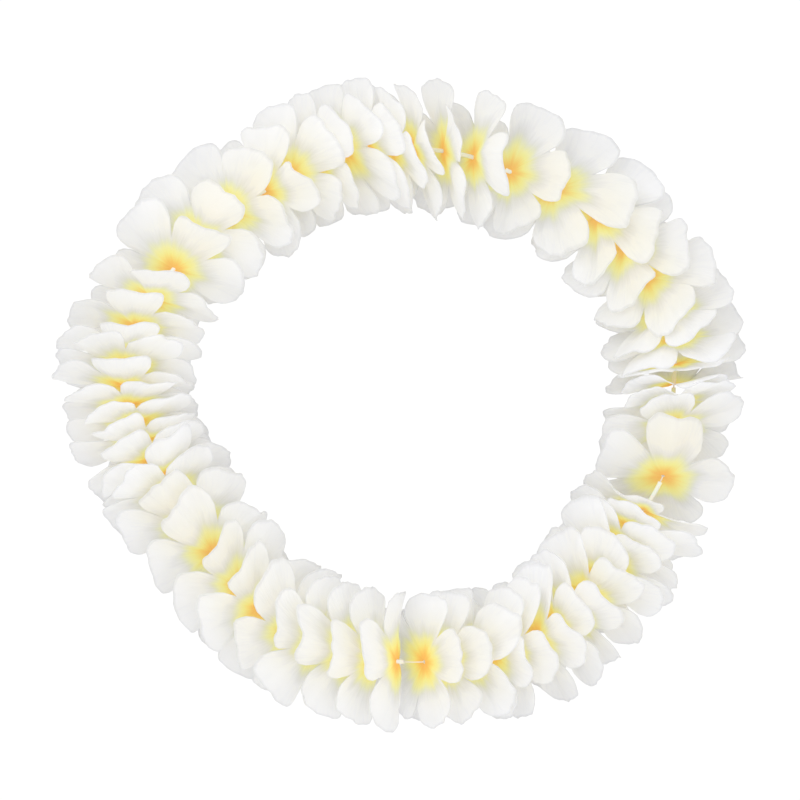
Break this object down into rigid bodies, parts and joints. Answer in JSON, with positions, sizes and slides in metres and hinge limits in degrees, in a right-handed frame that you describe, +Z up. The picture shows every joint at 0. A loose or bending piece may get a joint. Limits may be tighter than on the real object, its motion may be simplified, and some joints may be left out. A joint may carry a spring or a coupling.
{
  "type": "flower lei",
  "caption": "Closed garland of five-petalled white blooms with orange and yellow throats, threaded on a string and laid flat in a ring.",
  "frame": {"origin": "middle of the lei's outline, on the surface that it lies on", "axes": "+Z up out of the surface, +X to the right and +Y away in the picture's view from above"},
  "size_m": [0.4116, 0.3874, 0.0712],
  "materials": {
    "petal_cloth": "matte",
    "thread": "matte"
  },
  "bodies": {
    "root": {"bloom_01": "petal_cloth", "bloom_02": "petal_cloth", "bloom_03": "petal_cloth", "bloom_04": "petal_cloth", "bloom_05": "petal_cloth", "bloom_06": "petal_cloth", "bloom_07": "petal_cloth", "bloom_08": "petal_cloth", "bloom_09": "petal_cloth", "bloom_10": "petal_cloth", "bloom_11": "petal_cloth", "bloom_12": "petal_cloth", "bloom_13": "petal_cloth", "bloom_14": "petal_cloth", "bloom_15": "petal_cloth", "bloom_16": "petal_cloth", "bloom_17": "petal_cloth", "bloom_18": "petal_cloth", "bloom_19": "petal_cloth", "bloom_20": "petal_cloth", "bloom_21": "petal_cloth", "bloom_22": "petal_cloth", "bloom_23": "petal_cloth", "bloom_24": "petal_cloth", "bloom_25": "petal_cloth", "bloom_26": "petal_cloth", "bloom_27": "petal_cloth", "bloom_28": "petal_cloth", "bloom_29": "petal_cloth", "bloom_30": "petal_cloth", "bloom_31": "petal_cloth", "bloom_32": "petal_cloth", "bloom_33": "petal_cloth", "bloom_34": "petal_cloth", "bloom_35": "petal_cloth", "bloom_36": "petal_cloth", "bloom_37": "petal_cloth", "bloom_38": "petal_cloth", "bloom_39": "petal_cloth", "bloom_40": "petal_cloth", "bloom_41": "petal_cloth", "bloom_42": "petal_cloth", "bloom_43": "petal_cloth", "bloom_44": "petal_cloth", "bloom_45": "petal_cloth", "bloom_46": "petal_cloth", "bloom_47": "petal_cloth", "bloom_48": "petal_cloth", "bloom_49": "petal_cloth", "bloom_50": "petal_cloth", "bloom_51": "petal_cloth", "bloom_52": "petal_cloth", "bloom_53": "petal_cloth", "bloom_54": "petal_cloth", "bloom_55": "petal_cloth", "bloom_56": "petal_cloth", "bloom_57": "petal_cloth", "bloom_58": "petal_cloth", "string_loop": "thread"}
  },
  "joints": []
}
